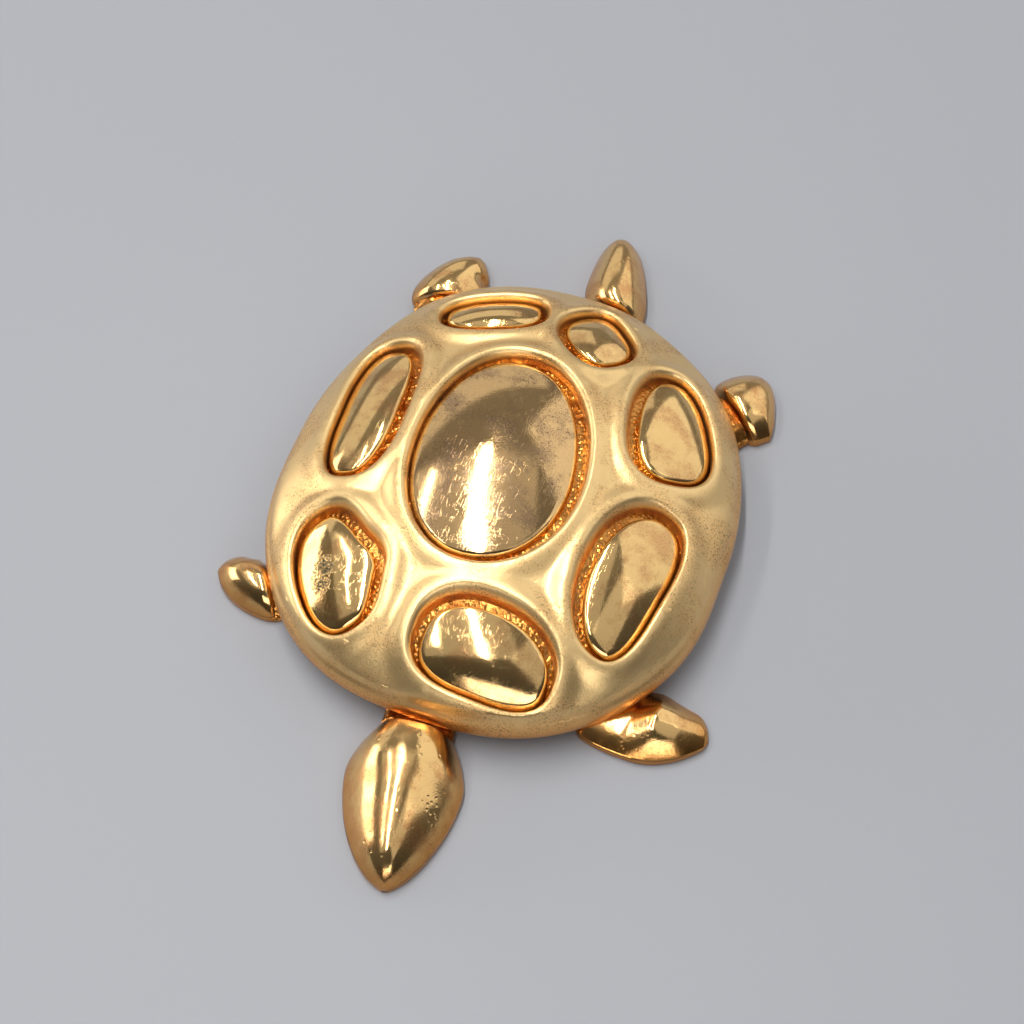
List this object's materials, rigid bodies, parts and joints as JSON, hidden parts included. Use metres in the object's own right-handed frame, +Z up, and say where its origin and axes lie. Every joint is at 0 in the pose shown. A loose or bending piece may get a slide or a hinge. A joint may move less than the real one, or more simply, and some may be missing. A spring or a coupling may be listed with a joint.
{
  "type": "turtle brooch",
  "caption": "Gold-tone turtle brooch: a pierced satin shell over a grained base casting with polished scutes, head, limbs and tail, and a pin across its hollow back.",
  "frame": {"origin": "on the surface that the brooch lies on, under the middle of its footprint", "axes": "+Y from head to tail, +Z up out of the shell, +X to the right as seen from above with the head towards the viewer"},
  "size_m": [0.0368, 0.0568, 0.0098],
  "materials": {
    "satin_shell": "satin gold plating on a cast pierced shell",
    "polished_casting": "polished gold plating, pebble-grained in the recesses and on the necks",
    "polished_scute": "mirror-polished gold plating with fine scratches",
    "plain_finding": "plain bright gold plating"
  },
  "bodies": {
    "root": {"shell": "satin_shell", "body": "polished_casting", "scute_centre": "polished_scute", "scute_rear_left": "polished_scute", "scute_rear": "polished_scute", "scute_right_rear": "polished_scute", "scute_right_front": "polished_scute", "scute_front": "polished_scute", "scute_left_front": "polished_scute", "scute_left_rear": "polished_scute", "pin_back": "plain_finding"}
  },
  "joints": []
}
